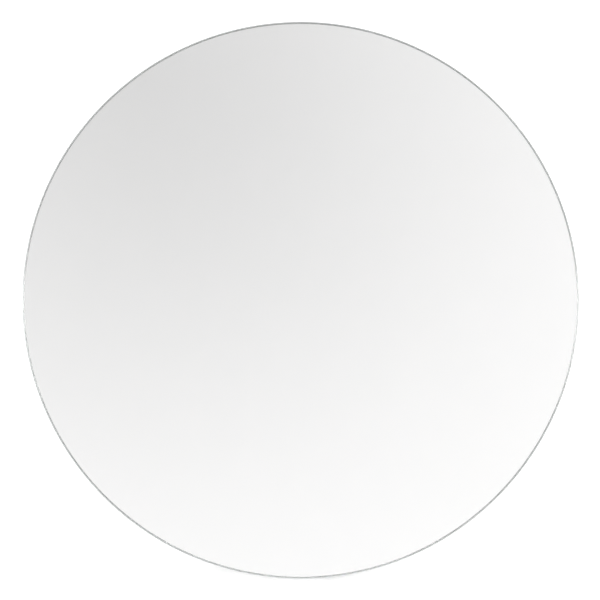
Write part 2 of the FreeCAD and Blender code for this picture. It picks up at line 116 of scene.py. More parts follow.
def circle(across, up, radius, count=48):
    turns = [2 * math.pi * i / count for i in range(count)]
    return [(across + radius * math.cos(t), up + radius * math.sin(t)) for t in turns]


def rectangle(left, right, low, high):
    return [(left, low), (right, low), (right, high), (left, high)]


def rounded(corners, radii, steps=8):
    """The outline with each corner turned into an arc, of one radius or of each corner's own."""
    if isinstance(radii, (int, float)):
        radii = [radii] * len(corners)
    points = []
    for i, (corner, radius) in enumerate(zip(corners, radii)):
        here = Vector(corner)
        before = (Vector(corners[i - 1]) - here).normalized()
        after = (Vector(corners[(i + 1) % len(corners)]) - here).normalized()
        half = before.angle(after) / 2
        centre = here + (before + after).normalized() * (radius / math.sin(half))
        start = here + before * (radius / math.tan(half)) - centre
        sweep = start.angle_signed(here + after * (radius / math.tan(half)) - centre)
        for step in range(steps + 1):
            turn = Matrix.Rotation(-sweep * step / steps, 2)
            points.append(tuple(centre + turn @ start))
    return points


def stadium(across, low, high, radius, steps=16):
    """Round-ended outline between two centres on a vertical line."""
    box = rectangle(across - radius, across + radius, low - radius, high + radius)
    just_under = 0.9999     # so that neighbouring arcs do not share a point
    return rounded(box, radius * just_under, steps)


# ---- meshes --------------------------------------------------------------------------------------

# Turns for a shape drawn in XY and raised along Z, after which it rises along X, -Y or Z.
AXES = {
    "X": Matrix(((0, 0, 1), (1, 0, 0), (0, 1, 0))),
    "Y": Matrix(((1, 0, 0), (0, 0, -1), (0, 1, 0))),
    "Z": Matrix.Identity(3),
}


def clean(mesh, angle=SHARP):
    """Weld the mesh, face it outwards and shade it smooth up to an angle."""
    weld, speck = 0.0005, 0.0004
    work = bmesh.new()
    work.from_mesh(mesh)
    bmesh.ops.remove_doubles(work, verts=work.verts, dist=weld)
    bmesh.ops.dissolve_degenerate(work, edges=work.edges, dist=speck)
    bmesh.ops.recalc_face_normals(work, faces=work.faces)
    work.to_mesh(mesh)
    work.free()
    mesh.shade_smooth()
    mesh.set_sharp_from_angle(angle=math.radians(angle))
    return mesh


def slab(axis, low, high, outline, holes=(), edge=EDGE, rings=2):
    """Flat piece between two planes square to a local axis, with holes and rounded edges."""
    curve = bpy.data.curves.new("outline", "CURVE")
    curve.dimensions = "2D"
    curve.fill_mode = "BOTH"
    curve.extrude = (high - low) / 2 - edge
    curve.bevel_depth = edge
    curve.bevel_resolution = rings
    curve.offset = -edge
    for loop in (outline, *holes):
        spline = curve.splines.new("POLY")
        spline.points.add(len(loop) - 1)
        spline.points.foreach_set("co", [c for x, y in loop for c in (x, y, 0, 1)])
        spline.use_cyclic_u = True
    shape = bpy.data.objects.new("outline", curve)
    bpy.context.scene.collection.objects.link(shape)
    bpy.context.view_layer.update()
    mesh = bpy.data.meshes.new_from_object(shape.evaluated_get(bpy.context.evaluated_depsgraph_get()))
    bpy.data.objects.remove(shape)
    bpy.data.curves.remove(curve)
    sense = -1 if axis == "Y" else 1
    mesh.transform(Matrix.Translation((0, 0, sense * (low + high) / 2)))
    mesh.transform(AXES[axis].to_4x4())
    return clean(mesh)


def lathe(axis, profile, count=64, angle=SHARP):
    """Turned piece about a local axis from (radius, height) pairs. A ring starts and ends off the axis."""
    turns = [2 * math.pi * i / count for i in range(count)]
    verts, rows = [], []
    for radius, height in profile:
        if radius == 0:
            rows.append([len(verts)] * count)
            verts.append((0, 0, height))
            continue
        rows.append(list(range(len(verts), len(verts) + count)))
        verts += [(radius * math.cos(t), radius * math.sin(t), height) for t in turns]
    if profile[0][0] and profile[-1][0]:
        rows.append(rows[0])
    faces = []
    for lower, upper in zip(rows, rows[1:]):
        for i in range(count):
            j = (i + 1) % count
            loop = (lower[i], lower[j], upper[j], upper[i])
            faces.append(tuple(dict.fromkeys(loop)))
    mesh = bpy.data.meshes.new("turned")
    mesh.from_pydata(verts, [], faces)
    mesh.transform(AXES[axis].to_4x4())
    if axis == "Y":
        mesh.transform(Matrix.Scale(-1, 4, (0, 1, 0)))
    return clean(mesh, angle)


def moved(mesh, x=0, y=0, z=0, turn=0, axis="Y"):
    """A copy of the mesh, turned about a local axis and then shifted."""
    copy = mesh.copy()
    copy.transform(Matrix.Translation((x, y, z)) @ Matrix.Rotation(turn, 4, axis))
    return copy


def together(*meshes):
    """Several meshes as one."""
    work = bmesh.new()
    for mesh in meshes:
        work.from_mesh(mesh)
    joined = bpy.data.meshes.new("joined")
    work.to_mesh(joined)
    work.free()
    joined.shade_smooth()
    joined.set_sharp_from_angle(angle=math.radians(SHARP))
    return joined


def combined(operation, base, *others):
    """Exact boolean of meshes: UNION or DIFFERENCE."""
    scene = bpy.context.scene.collection
    main = bpy.data.objects.new("main", base)
    tool = bpy.data.objects.new("tool", together(*others))
    scene.objects.link(main)
    scene.objects.link(tool)
    modifier = main.modifiers.new("solid", "BOOLEAN")
    modifier.operation = operation
    modifier.object = tool
    modifier.solver = "EXACT"
    modifier.use_self = True
    bpy.context.view_layer.update()
    mesh = bpy.data.meshes.new_from_object(main.evaluated_get(bpy.context.evaluated_depsgraph_get()))
    for thing in (main, tool):
        bpy.data.objects.remove(thing)
    return clean(mesh)


def piece(name, node, mesh, where, material, body="head", flat=True):
    """Put a finished mesh in its frame, in place of a CAD node. It keeps its local place for the look."""
    mesh.transform(Matrix.Scale(MM, 4))
    place = mesh.attributes.new("place", "FLOAT_VECTOR", "POINT")
    place.data.foreach_set("vector", [c for v in mesh.vertices for c in v.co])
    mesh.transform(where)
    mesh.name = name
    mesh.materials.clear()
    mesh.materials.append(material)
    shape = bpy.data.objects.new(name, mesh)
    bpy.context.scene.collection.objects.link(shape)
    if flat:
        # Large flat faces stay flat beside small rounded edges.
        normals = shape.modifiers.new("weighted_normals", "WEIGHTED_NORMAL")
        normals.keep_sharp = True
    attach(shape, body)
    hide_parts(node)
    return shape


# ---- materials -----------------------------------------------------------------------------------

class Pattern:
    """An empty node tree and short ways to build patterns from a place in metres."""

    def __init__(self, tree):
        self.nodes = tree.nodes
        self.links = tree.links
        self.nodes.clear()

    def place_from(self, kind, output):
        """Take the place from an output of an input node."""
        self.place = self.nodes.new(kind).outputs[output]

    def put(self, node, index, value):
        """Link a socket or set a plain value."""
        if isinstance(value, bpy.types.NodeSocket):
            self.links.new(value, node.inputs[index])
        else:
            node.inputs[index].default_value = value

    def math(self, operation, a, b=0.0, c=0.0, clamp=False):
        node = self.nodes.new("ShaderNodeMath")
        node.operation = operation
        node.use_clamp = clamp
        for index, value in enumerate((a, b, c)):
            self.put(node, index, value)
        return node.outputs[0]

    def stretched(self, x, y, z):
        """Place with each axis scaled, in waves per metre."""
        node = self.nodes.new("ShaderNodeMapping")
        self.links.new(self.place, node.inputs["Vector"])
        node.inputs["Scale"].default_value = (x, y, z)
        return node.outputs[0]

    def noise(self, scale, detail=4.0, roughness=0.55, place=None, distortion=0.0):
        """Noise at a scale in waves per metre, or in an already scaled place."""
        node = self.nodes.new("ShaderNodeTexNoise")
        self.links.new(place or self.place, node.inputs["Vector"])
        node.inputs["Scale"].default_value = scale
        node.inputs["Detail"].default_value = detail
        node.inputs["Roughness"].default_value = roughness
        node.inputs["Distortion"].default_value = distortion
        return node.outputs["Fac"]

    def wandering(self, scale, reach):
        """Place moved about by noise, at most by a reach in millimetres."""
        noise = self.nodes.new("ShaderNodeTexNoise")
        self.links.new(self.place, noise.inputs["Vector"])
        noise.inputs["Scale"].default_value = scale
        node = self.nodes.new("ShaderNodeVectorMath")
        node.operation = "MULTIPLY_ADD"
        self.links.new(noise.outputs["Color"], node.inputs[0])
        node.inputs[1].default_value = (reach * MM,) * 3
        self.links.new(self.place, node.inputs[2])
        return node.outputs[0]

    def cells(self, scale, feature="F1", place=None):
        """Distance to the middle of the nearest cell."""
        node = self.nodes.new("ShaderNodeTexVoronoi")
        node.feature = feature
        self.links.new(place or self.place, node.inputs["Vector"])
        node.inputs["Scale"].default_value = scale
        return node.outputs["Distance"]

    def spread(self, value, low, high, to_low=0.0, to_high=1.0):
        """Value from a range onto another, held at its ends."""
        node = self.nodes.new("ShaderNodeMapRange")
        for index, number in enumerate((value, low, high, to_low, to_high)):
            self.put(node, index, number)
        return node.outputs[0]

    def ramp(self, value, *stops):
        """Colours at places from 0 to 1: (place, (r, g, b)), ..."""
        node = self.nodes.new("ShaderNodeValToRGB")
        self.links.new(value, node.inputs["Fac"])
        elements = node.color_ramp.elements
        while len(elements) < len(stops):
            elements.new(0.5)
        for element, (place, colour) in zip(elements, stops):
            element.position = place
            element.color = (*colour, 1)
        return node.outputs["Color"]

    def mix(self, share, a, b):
        """Colour a where share is 0 and b where it is 1."""
        node = self.nodes.new("ShaderNodeMix")
        node.data_type = "RGBA"
        for index, value in ((0, share), (6, a), (7, b)):
            self.put(node, index, (*value, 1) if isinstance(value, tuple) else value)
        return node.outputs[2]

    def split(self):
        """The three parts of the place."""
        node = self.nodes.new("ShaderNodeSeparateXYZ")
        self.links.new(self.place, node.inputs[0])
        return node.outputs

    def towards(self, vector):
        """How far the place points along a direction, from -1 to 1 for a place that is a direction."""
        node = self.nodes.new("ShaderNodeVectorMath")
        node.operation = "DOT_PRODUCT"
        self.links.new(self.place, node.inputs[0])
        node.inputs[1].default_value = vector
        return node.outputs["Value"]

    def seen(self):
        """1 for what the camera sees itself, 0 for what it sees in a mirror or as light."""
        return self.nodes.new("ShaderNodeLightPath").outputs["Is Camera Ray"]


class Look(Pattern):
    """A node material: a Principled shader with patterns for its colour, roughness and relief."""

    def __init__(self, name, **values):
        self.material = bpy.data.materials.new(name)
        self.material.use_nodes = True
        super().__init__(self.material.node_tree)
        self.shader = self.nodes.new("ShaderNodeBsdfPrincipled")
        output = self.nodes.new("ShaderNodeOutputMaterial")
        self.links.new(self.shader.outputs[0], output.inputs["Surface"])
        self.place_from("ShaderNodeAttribute", "Vector")
        self.place.node.attribute_name = "place"
        for key, value in values.items():
            socket = self.shader.inputs[key.replace("_", " ").title().replace("Ior", "IOR")]
            socket.default_value = (*value, 1) if isinstance(value, tuple) else value

    def colour(self, value):
        self.links.new(value, self.shader.inputs["Base Color"])

    def rough(self, value):
        self.links.new(value, self.shader.inputs["Roughness"])

    def bump(self, height, depth_mm, strength=1.0):
        """Surface relief of a depth in millimetres, on top of any before it."""
        node = self.nodes.new("ShaderNodeBump")
        node.inputs["Strength"].default_value = strength
        node.inputs["Distance"].default_value = depth_mm * MM
        self.links.new(height, node.inputs["Height"])
        before = self.shader.inputs["Normal"].links
        if before:
            self.links.new(before[0].from_socket, node.inputs["Normal"])
        self.links.new(node.outputs[0], self.shader.inputs["Normal"])


def glass_look():
    """Clear float glass, its faint green cast a little uneven."""
    look = Look("float_glass", transmission_weight=1.0, ior=1.52, roughness=0.0)
    cast = look.noise(60, 3)
    look.colour(look.ramp(cast, (0.3, (0.991, 0.995, 0.993)), (0.7, (0.995, 0.998, 0.996))))
    return look.material


def ground_edge_look():
    """The glass where it was ground: a fine frost, greyer and a little greener than the face."""
    look = Look("ground_glass_edge", transmission_weight=1.0, ior=1.52, roughness=0.28)
    frost = look.noise(38, 5)
    look.colour(look.ramp(frost, (0.3, (0.42, 0.45, 0.44)), (0.7, (0.50, 0.53, 0.52))))
    look.bump(look.noise(5200, 3), 0.01, 0.5)
    return look.material


def silver_look():
    """Silver film, a trace warmer than the light, with a slow drift in how much it gives back."""
    look = Look("silvering", metallic=1.0, roughness=0.0)
    drift = look.noise(14, 3)
    look.colour(look.ramp(drift, (0.25, (0.966, 0.957, 0.958)), (0.75, (0.972, 0.963, 0.965))))
    return look.material


def backing_paint_look():
    """Curtain-coated grey paint: orange peel, a faint mottle and fine dust."""
    look = Look("grey_backing_paint", ior=1.45)
    mottle = look.noise(45, 5)
    specks = look.spread(look.noise(2600, 2), 0.66, 0.72)
    grey = look.ramp(mottle, (0.3, (0.150, 0.162, 0.172)), (0.7, (0.185, 0.198, 0.208)))
    look.colour(look.mix(specks, grey, (0.34, 0.35, 0.36)))
    look.rough(look.spread(look.noise(320, 4), 0.3, 0.7, 0.34, 0.52))
    look.bump(look.noise(700, 3), 0.03, 0.6)
    return look.material


def foam_look():
    """White closed-cell foam, with painted shade darkening its pores."""
    look = Look("white_foam", roughness=0.9, subsurface_weight=0.15, subsurface_scale=0.0006)
    cells = look.cells(5200)
    look.colour(look.ramp(cells, (0.0, (0.88, 0.88, 0.85)), (0.5, (0.80, 0.80, 0.77)),
                          (1.0, (0.66, 0.66, 0.63))))
    look.bump(cells, 0.12, 0.8)
    return look.material


def board_look(name, radius=None):
    """Black pebbled lacquer on fibreboard with painted shade in the valleys between its pebbles, rubbed and
    dusty, and worn through at the rim of a disc.
    """
    look = Look(name, ior=1.5, specular_ior_level=0.38)
    pebbles = look.cells(820, "SMOOTH_F1", place=look.wandering(1100, 0.5))
    valleys = look.spread(pebbles, 0.25, 0.75)
    fine = look.noise(4200, 3)
    blotch = look.noise(22, 6, 0.62)
    black = look.ramp(blotch, (0.34, (0.0085, 0.0085, 0.0090)), (0.66, (0.0190, 0.0188, 0.0185)))
    # Painted shade: the valleys between the pebbles are darkened towards a deeper black.
    black = look.mix(look.math("MULTIPLY", valleys, 0.5), black, (0.004, 0.004, 0.004))
    specks = look.spread(look.noise(1500, 3, 0.7), 0.60, 0.74)
    dust = look.math("MULTIPLY", specks, look.spread(blotch, 0.4, 0.7, 0.2, 0.8))
    wear_and_painted_shade = look.mix(dust, black, (0.085, 0.082, 0.076))
    streaks = look.noise(1, 2, place=look.stretched(70, 900, 1500), distortion=1.2)
    hairs = look.spread(streaks, 0.715, 0.75, 0, 0.5)
    wear_and_painted_shade = look.mix(hairs, wear_and_painted_shade, (0.075, 0.074, 0.072))
    if radius:
        x, _, z = look.split()
        square = look.math("ADD", look.math("MULTIPLY", x, x), look.math("MULTIPLY", z, z))
        rim = look.spread(look.math("SQRT", square), (radius - 1.8) * MM, (radius - 0.3) * MM)
        rubbed = look.spread(look.noise(420, 6, 0.7), 0.58, 0.64)
        wear_and_painted_shade = look.mix(look.math("MULTIPLY", rim, rubbed), wear_and_painted_shade, (0.17, 0.105, 0.062))
    look.colour(wear_and_painted_shade)
    gloss = look.spread(look.noise(55, 6, 0.65), 0.3, 0.7, 0.34, 0.60)
    look.rough(look.math("MULTIPLY_ADD", valleys, 0.12, gloss, clamp=True))
    look.bump(look.math("SUBTRACT", 1.0, valleys), 0.10, 0.8)
    look.bump(fine, 0.02, 0.5)
    return look.material


def steel_look(name, light, dark, polish, along="Z"):
    """Plated steel: fine brushing along one axis, cloudy gloss and a few scratches."""
    look = Look(name, metallic=1.0)
    fine, coarse, scratch = 9000, 260, 0.5
    scale = [coarse if axis == along else fine for axis in "XYZ"]
    brushed = look.noise(1, 3, place=look.stretched(*scale))
    cloud = look.noise(130, 5)
    streaks = look.noise(1, 2, place=look.stretched(400, 400, 2600), distortion=1.5)
    marks = look.spread(streaks, 0.70, 0.76)
    tone = look.math("ADD", look.math("MULTIPLY", brushed, 0.45), look.math("MULTIPLY", cloud, 0.55))
    look.colour(look.ramp(tone, (0.32, dark), (0.66, light)))
    gloss = look.math("MULTIPLY_ADD", cloud, 0.16, look.math("MULTIPLY_ADD", brushed, 0.14, polish - 0.15))
    look.rough(look.math("MULTIPLY_ADD", marks, 0.15, gloss, clamp=True))
    look.bump(brushed, 0.010, scratch)
    look.bump(marks, 0.012, scratch)
    return look.material


def plastic_look():
    """Moulded black ABS with a spark-eroded grain."""
    look = Look("black_abs", ior=1.53, roughness=0.5)
    grain = look.noise(3600, 4, 0.65)
    look.colour(look.ramp(look.noise(150, 5), (0.3, (0.020, 0.020, 0.021)), (0.7, (0.033, 0.033, 0.034))))
    look.rough(look.spread(grain, 0.3, 0.7, 0.42, 0.62))
    look.bump(grain, 0.045, 0.7)
    return look.material


def rubber_look():
    """Matt black rubber, a little bloomed and dusty."""
    look = Look("black_rubber", ior=1.5, roughness=0.8)
    bloom = look.noise(210, 6, 0.65)
    dust = look.spread(look.noise(4200, 2), 0.64, 0.72, 0, 0.5)
    base = look.ramp(bloom, (0.3, (0.018, 0.018, 0.018)), (0.75, (0.040, 0.039, 0.037)))
    look.colour(look.mix(dust, base, (0.13, 0.125, 0.115)))
    look.rough(look.spread(bloom, 0.3, 0.7, 0.68, 0.88))
    look.bump(look.noise(2600, 4), 0.04, 0.6)
    return look.material


def nylon_look():
    """Natural nylon, waxy and a little translucent."""
    look = Look("natural_nylon", ior=1.53, roughness=0.4, subsurface_weight=0.3, subsurface_scale=0.0008)
    look.colour(look.ramp(look.noise(500, 4), (0.3, (0.74, 0.72, 0.65)), (0.7, (0.82, 0.80, 0.74))))
    look.rough(look.spread(look.noise(1500, 3), 0.3, 0.7, 0.34, 0.5))
    look.bump(look.noise(2200, 3), 0.01, 0.5)
    return look.material


def felt_look():
    """Pressed wool felt: tangled fibres of mixed greys."""
    look = Look("grey_felt", roughness=0.95, sheen_weight=0.5, sheen_roughness=0.5)
    fibres = look.noise(2400, 8, 0.75, distortion=2.5)
    look.colour(look.ramp(fibres, (0.3, (0.030, 0.030, 0.033)), (0.55, (0.075, 0.075, 0.080)),
                          (0.75, (0.16, 0.16, 0.165))))
    look.bump(fibres, 0.25, 0.9)
    return look.material


GLASS = glass_look()
GLASS_EDGE = ground_edge_look()
SILVER = silver_look()
PAINT = backing_paint_look()
FOAM = foam_look()
ABS = plastic_look()
RUBBER = rubber_look()
NYLON = nylon_look()
FELT = felt_look()
NICKEL = steel_look("satin_nickel", (0.66, 0.635, 0.60), (0.50, 0.48, 0.455), 0.30)
PIN_STEEL = steel_look("bright_steel", (0.62, 0.62, 0.625), (0.44, 0.44, 0.45), 0.22, along="X")
ZINC = steel_look("bright_zinc", (0.66, 0.675, 0.70), (0.47, 0.48, 0.505), 0.26, along="Y")


# ---- glass and board -----------------------------------------------------------------------------

DISC_COUNT = 360        # sides of a large disc
DISC_SHARP = 20         # its arris is sharp too


def build_glass():
    """Flat faces, ground edge, and an arris at each corner of it."""
    radius, back, _ = box_in(HEAD, "mirror_glass")[1]
    face = box_in(HEAD, "silver_coating")[1].x
    arris = radius - face
    hair = 0.01
    profile = [(0, 0), (face, 0), (radius, arris), (radius, back - arris), (face, back), (0, back)]
    mesh = lathe("Y", profile, DISC_COUNT, DISC_SHARP)
    shape = piece("glass_disc", "mirror_glass", mesh, HEAD, GLASS, flat=False)
    shape.data.materials.append(GLASS_EDGE)
    for polygon in shape.data.polygons:
        depth = (HEAD.inverted() @ polygon.center).y / MM
        polygon.material_index = int(hair < depth < back - hair)


def build_coatings():
    """Silver and paint, each with a hair of room in front, and the silver behind as well."""
    layers = (("silvering", "silver_coating", SILVER, ROOM), ("grey_paint", "backing_paint", PAINT, 0))
    for name, node, material, behind in layers:
        low, high = box_in(HEAD, node)
        front, back = low.y + ROOM, high.y - behind
        profile = [(0, front), (high.x, front), (high.x, back), (0, back)]
        mesh = lathe("Y", profile, DISC_COUNT, DISC_SHARP)
        piece(name, node, mesh, HEAD, material, flat=False)


def build_tape():
    """Five strips of foam tape, the outer ones shorter."""
    corner, soft_edge, near = 0.6, 0.25, 0.1
    points = points_in(HEAD, "foam_tape_strips")
    low, high = box_in(HEAD, "foam_tape_strips")
    edges = sorted({round(p.x, 2) for p in points})
    strips = []
    for left, right in zip(edges[::2], edges[1::2]):
        heights = [p.z for p in points if left - near < p.x < right + near]
        box = rounded(rectangle(left, right, min(heights), max(heights)), corner, 4)
        strips.append(slab("Y", low.y + ROOM, high.y - ROOM, box, edge=soft_edge))
    piece("tape_strips", "foam_tape_strips", together(*strips), HEAD, FOAM)


def build_board():
    """Fibreboard disc with an eased front edge and a well rounded rear one."""
    low, high = box_in(HEAD, "back_board")
    radius, front, back = high.x, low.y, high.y
    eased, soft, steps = 0.4, 2.0, 10
    turns = [math.pi / 2 * i / steps for i in range(steps + 1)]
    profile = [(0, front)]
    for t in turns[::3]:
        profile.append((radius - eased + eased * math.sin(t), front + eased - eased * math.cos(t)))
    for t in turns:
        profile.append((radius - soft + soft * math.cos(t), back - soft + soft * math.sin(t)))
    profile.append((0, back))
    mesh = lathe("Y", profile, DISC_COUNT, DISC_SHARP)
    piece("board", "back_board", mesh, HEAD, board_look("black_board", radius))


def build_dots():
    """Felt dots with a soft, slightly ragged rim."""
    low, high = box_in(HEAD, "leg_rest_dots")
    radius = (high.z - low.z) / 2
    height = high.y - low.y
    raggedness = 0.022
    shares = [(0, 0), (0.98, 0), (0.995, 0.3), (0.985, 0.65), (0.95, 0.86), (0.88, 0.95), (0.5, 0.97),
              (0.2, 0.96), (0, 0.96)]
    profile = [(radius * out, height * up) for out, up in shares]
    dots = []
    for side in (-1, 1):
        dot = lathe("Y", profile, 72)
        for vertex in dot.vertices:
            reach = math.hypot(vertex.co.x, vertex.co.z) / radius
            ragged = 1 - raggedness * rng.random() * reach
            vertex.co.x *= ragged
            vertex.co.z *= ragged
        dots.append(moved(dot, side * (high.x - radius), low.y, (low.z + high.z) / 2))
    piece("felt_dots", "leg_rest_dots", together(*dots), HEAD, FELT, flat=False)


# ---- fasteners -----------------------------------------------------------------------------------

def screw_mesh(head, height, length, shank):
    """Truss-headed screw, seat at 0, head to the rear, with a cross recess and a pointed thread."""
    rim, fullness, steps = 0.16, 0.72, 9
    dome = [(head, 0), (head, height * rim)]
    for i in range(1, steps):
        t = math.pi / 2 * i / steps
        dome.append((head * math.cos(t) ** fullness, height * (rim + (1 - rim) * math.sin(t))))
    dome.append((0, height))
    pitch, depth, first, point, plain = 1.1, 0.22, 0.4, 0.9, 1.6
    core = shank - depth
    thread = []
    for i in range(int((length - plain) / pitch)):
        z = -(first + i * pitch)
        thread += [(core, z), (shank, z - pitch / 2)]
    body = [(0, -length), (shank * 0.35, point - length), *reversed(thread), (core, 0)]
    mesh = lathe("Y", [*body, *dome], 40)
    long, short, deep, above = head * 0.53, head * 0.125, height * 0.55, 0.5
    arms = []
    for across, up in ((long, short), (short, long)):
        bar = rounded(rectangle(-across, across, -up, up), short / 2, 3)
        arms.append(slab("Y", height - deep, height + above, bar, edge=0.04, rings=1))
    cross = combined("UNION", *arms)
    return combined("DIFFERENCE", mesh, cross)


def spots(low, high, head):
    """Middles of the round heads at both ends of a span, or of the one head that fills it."""
    if high - low < 3 * head:
        return [round((low + high) / 2, 1)]
    return [round(low + head, 1), round(high - head, 1)]


def build_screws(name, node, where, head):
    """The CAD node's screws, each driven to its own angle."""
    low, high = box_in(where, node)
    height, shank, hair = 1.6, 1.4, 0.001
    seat = high.y - height
    rises = [p.z for p in points_in(where, node) if p.y > seat - hair]
    mesh = screw_mesh(head, height, seat - low.y, shank)
    places = [(x, z) for x in spots(low.x, high.x, head) for z in spots(min(rises), max(rises), head)]
    screws = [moved(mesh, x, seat, z, rng.uniform(0, math.pi)) for x, z in places]
    piece(name, node, together(*screws), where, ZINC, flat=False)


def build_rivets(name, node):
    """Domed heads on the outer face, and dished tails at the leg's inner face."""
    low, high = box_in(LEG, node)
    head, height, shank, rim, fullness, steps = 2.9, 1.0, 1.5, 0.12, 0.8, 8
    seat = high.y - height
    tail = [(0, low.y + 0.25), (shank * 0.55, low.y + 0.1), (shank, low.y), (shank, seat)]
    dome = [(head, seat), (head, seat + rim)]
    for i in range(1, steps):
        t = math.pi / 2 * i / steps
        dome.append((head * math.cos(t) ** fullness, seat + rim + (height - rim) * math.sin(t)))
    dome.append((0, high.y))
    mesh = lathe("Y", [*tail, *dome], 48)
    places = [(x, z) for x in spots(low.x, high.x, head) for z in spots(low.z, high.z, head)]
    rivets = together(*[moved(mesh, x, 0, z) for x, z in places])
    piece(name, node, rivets, LEG, PIN_STEEL, "leg", flat=False)


def build_pin(name, node, where, radius, body="head", drop=0):
    """Pin along X with a domed, peened and slightly dished head at each end."""
    low, high = box_in(where, node)
    head = (high.y - low.y) / 2
    height, rim, flat, steps = 0.9, 0.35, 0.25, 6
    seat = high.x - height
    side = [(radius, seat), (head * 0.96, seat), (head, seat + 0.12), (head, seat + rim)]
    for i in range(1, steps + 1):
        t = math.pi / 2 * i / steps
        share = flat + (1 - flat) * math.cos(t)
        side.append((head * share, seat + rim + (height - rim) * math.sin(t)))
    side += [(head * 0.12, high.x - 0.04), (0, high.x - 0.10)]
    profile = [(r, -h) for r, h in reversed(side)] + side
    mesh = moved(lathe("X", profile, 48), z=-drop)
    piece(name, node, mesh, where, PIN_STEEL, body, flat=False)


def build_washers(name, node, where, inner, body="head", drop=0):
    """Two washers, one on each side of the arm, with eased edges."""
    low, high = box_in(where, node)
    outer = (high.y - low.y) / 2
    start = min(abs(p.x) for p in points_in(where, node))
    end, ease = high.x, 0.15
    ring = [(inner, start + ease), (inner + ease, start), (outer - ease, start), (outer, start + ease),
            (outer, end - ease), (outer - ease, end), (inner + ease, end), (inner, end - ease)]
    mesh = lathe("X", ring, 40)
    both = together(moved(mesh, z=-drop), moved(mesh, z=-drop, turn=math.pi, axis="Z"))
    piece(name, node, both, where, NYLON, body)


# ---- hinge ---------------------------------------------------------------------------------------

KNUCKLE = 3.25          # outer radius
PIN_BORE = HINGE_PIN + FIT
KNUCKLE_LENGTH = 8.0
KNUCKLE_GAP = 0.15      # at each end
LEAF_START = 3.6        # plate's near edge from the hinge's axis
LEAF_RIVETS = [(x, z) for x in (-11, 11) for z in (-12, -21)]


def knuckle_mesh(left, front, rear, tongue_low, tongue_high):
    """One knuckle: a rolled eye and the tongue that joins it to the plate."""
    right = left + KNUCKLE_LENGTH - 2 * KNUCKLE_GAP
    count, past = 72, 1
    eye = slab("X", left, right, circle(0, 0, KNUCKLE, count), [circle(0, 0, PIN_BORE - ROOM, count)])
    tongue = slab("X", left, right, rectangle(front, rear, tongue_low, tongue_high))
    bore = [(0, left - past), (PIN_BORE, left - past), (PIN_BORE, right + past), (0, right + past)]
    return combined("DIFFERENCE", combined("UNION", eye, tongue), lathe("X", bore, count))


def leaf_mesh(front, low, high, half, knuckles, tongue, holes, hole_radius):
    """Plate between two heights with round outer corners, and its knuckles, counted from the middle."""
    rear = front + SHEET
    inner_corner, outer_corner = 0.3, 3
    radii = [inner_corner if abs(z) == LEAF_START else outer_corner for z in (low, low, high, high)]
    outline = rounded(rectangle(-half, half, low, high), radii)
    plate = slab("Y", front, rear, outline, [circle(x, z, hole_radius) for x, z in holes])
    lefts = [(k - 0.5) * KNUCKLE_LENGTH + KNUCKLE_GAP for k in knuckles]
    return combined("UNION", plate, *[knuckle_mesh(left, front, rear, *tongue) for left in lefts])


def build_board_leaf():
    """Upper leaf, flat on the board, with three knuckles."""
    low, high = box_in(HINGE, "board_hinge_leaf")
    tongue = (-1.2, LEAF_START + 0.5)
    holes = [(x, z) for x in (-13, 13) for z in (9.5, 20)]
    mesh = leaf_mesh(low.y, LEAF_START, high.z, high.x, (-2, 0, 2), tongue, holes, SCREW_HOLE)
    piece("board_leaf", "board_hinge_leaf", mesh, HINGE, NICKEL)


def build_leg_leaf():
    """Lower leaf, flat on the leg, with two knuckles."""
    low, high = box_in(LEG, "leg_hinge_leaf")
    tongue = (-LEAF_START - 0.5, 0)
    mesh = leaf_mesh(high.y - SHEET, low.z, -LEAF_START, high.x, (-1, 1), tongue, LEAF_RIVETS, RIVET_HOLE)
    piece("leg_leaf", "leg_hinge_leaf", mesh, LEG, NICKEL, "leg")


# ---- leg and stay --------------------------------------------------------------------------------

GUIDE_RIVETS = [(x, z) for x in (-11.5, 11.5) for z in (-117, -146)]


def build_leg():
    """Tapered fibreboard leg with a window for the stay and holes for its rivets."""
    low, high = box_in(LEG, "easel_leg")
    half_end, half_top = high.x, 20.0
    corners = [(-half_end, low.z), (half_end, low.z), (half_top, high.z), (-half_top, high.z)]
    window = rounded(rectangle(-8, 8, -152, -43), 5)
    rivets = [circle(x, z, RIVET_HOLE, 32) for x, z in (*LEAF_RIVETS, *GUIDE_RIVETS)]
    mesh = slab("Y", low.y, high.y, rounded(corners, (1, 1, 7, 7)), [window, *rivets], edge=0.35, rings=3)
    piece("leg_board", "easel_leg", mesh, LEG, board_look("black_leg"), "leg")


def build_boot():
    """Rubber boot, level with the counter at its sole, with grip grooves across its lip."""
    low, high = box_in(LEG, "leg_foot")
    leg_low, leg_high = box_in(LEG, "easel_leg")
    inner, lip, lip_top = low.y, high.y, high.z
    tilt = math.asin(-LEG[1][2])
    rear_sole = low.z
    front_sole = rear_sole + (lip - inner) * math.tan(tilt)
    corner, ease, groove, first, pitch = 0.5, 0.3, 0.45, 3.0, 2.4
    outline = [(inner, leg_low.z), (leg_high.y, leg_low.z), (leg_high.y, lip_top)]
    outline += [(lip - corner, lip_top), (lip, lip_top - corner)]
    for i in range(4):
        z = lip_top - first - pitch * i
        outline += [(lip, z), (lip - groove, z - 0.25), (lip - groove, z - 0.75), (lip, z - 1)]
    outline += [(lip, rear_sole + ease), (lip - ease, rear_sole + 0.05)]
    outline += [(inner + ease, front_sole), (inner, front_sole + ease)]
    mesh = slab("X", low.x, high.x, outline, edge=0.2)
    piece("boot", "leg_foot", mesh, LEG, RUBBER, "leg")


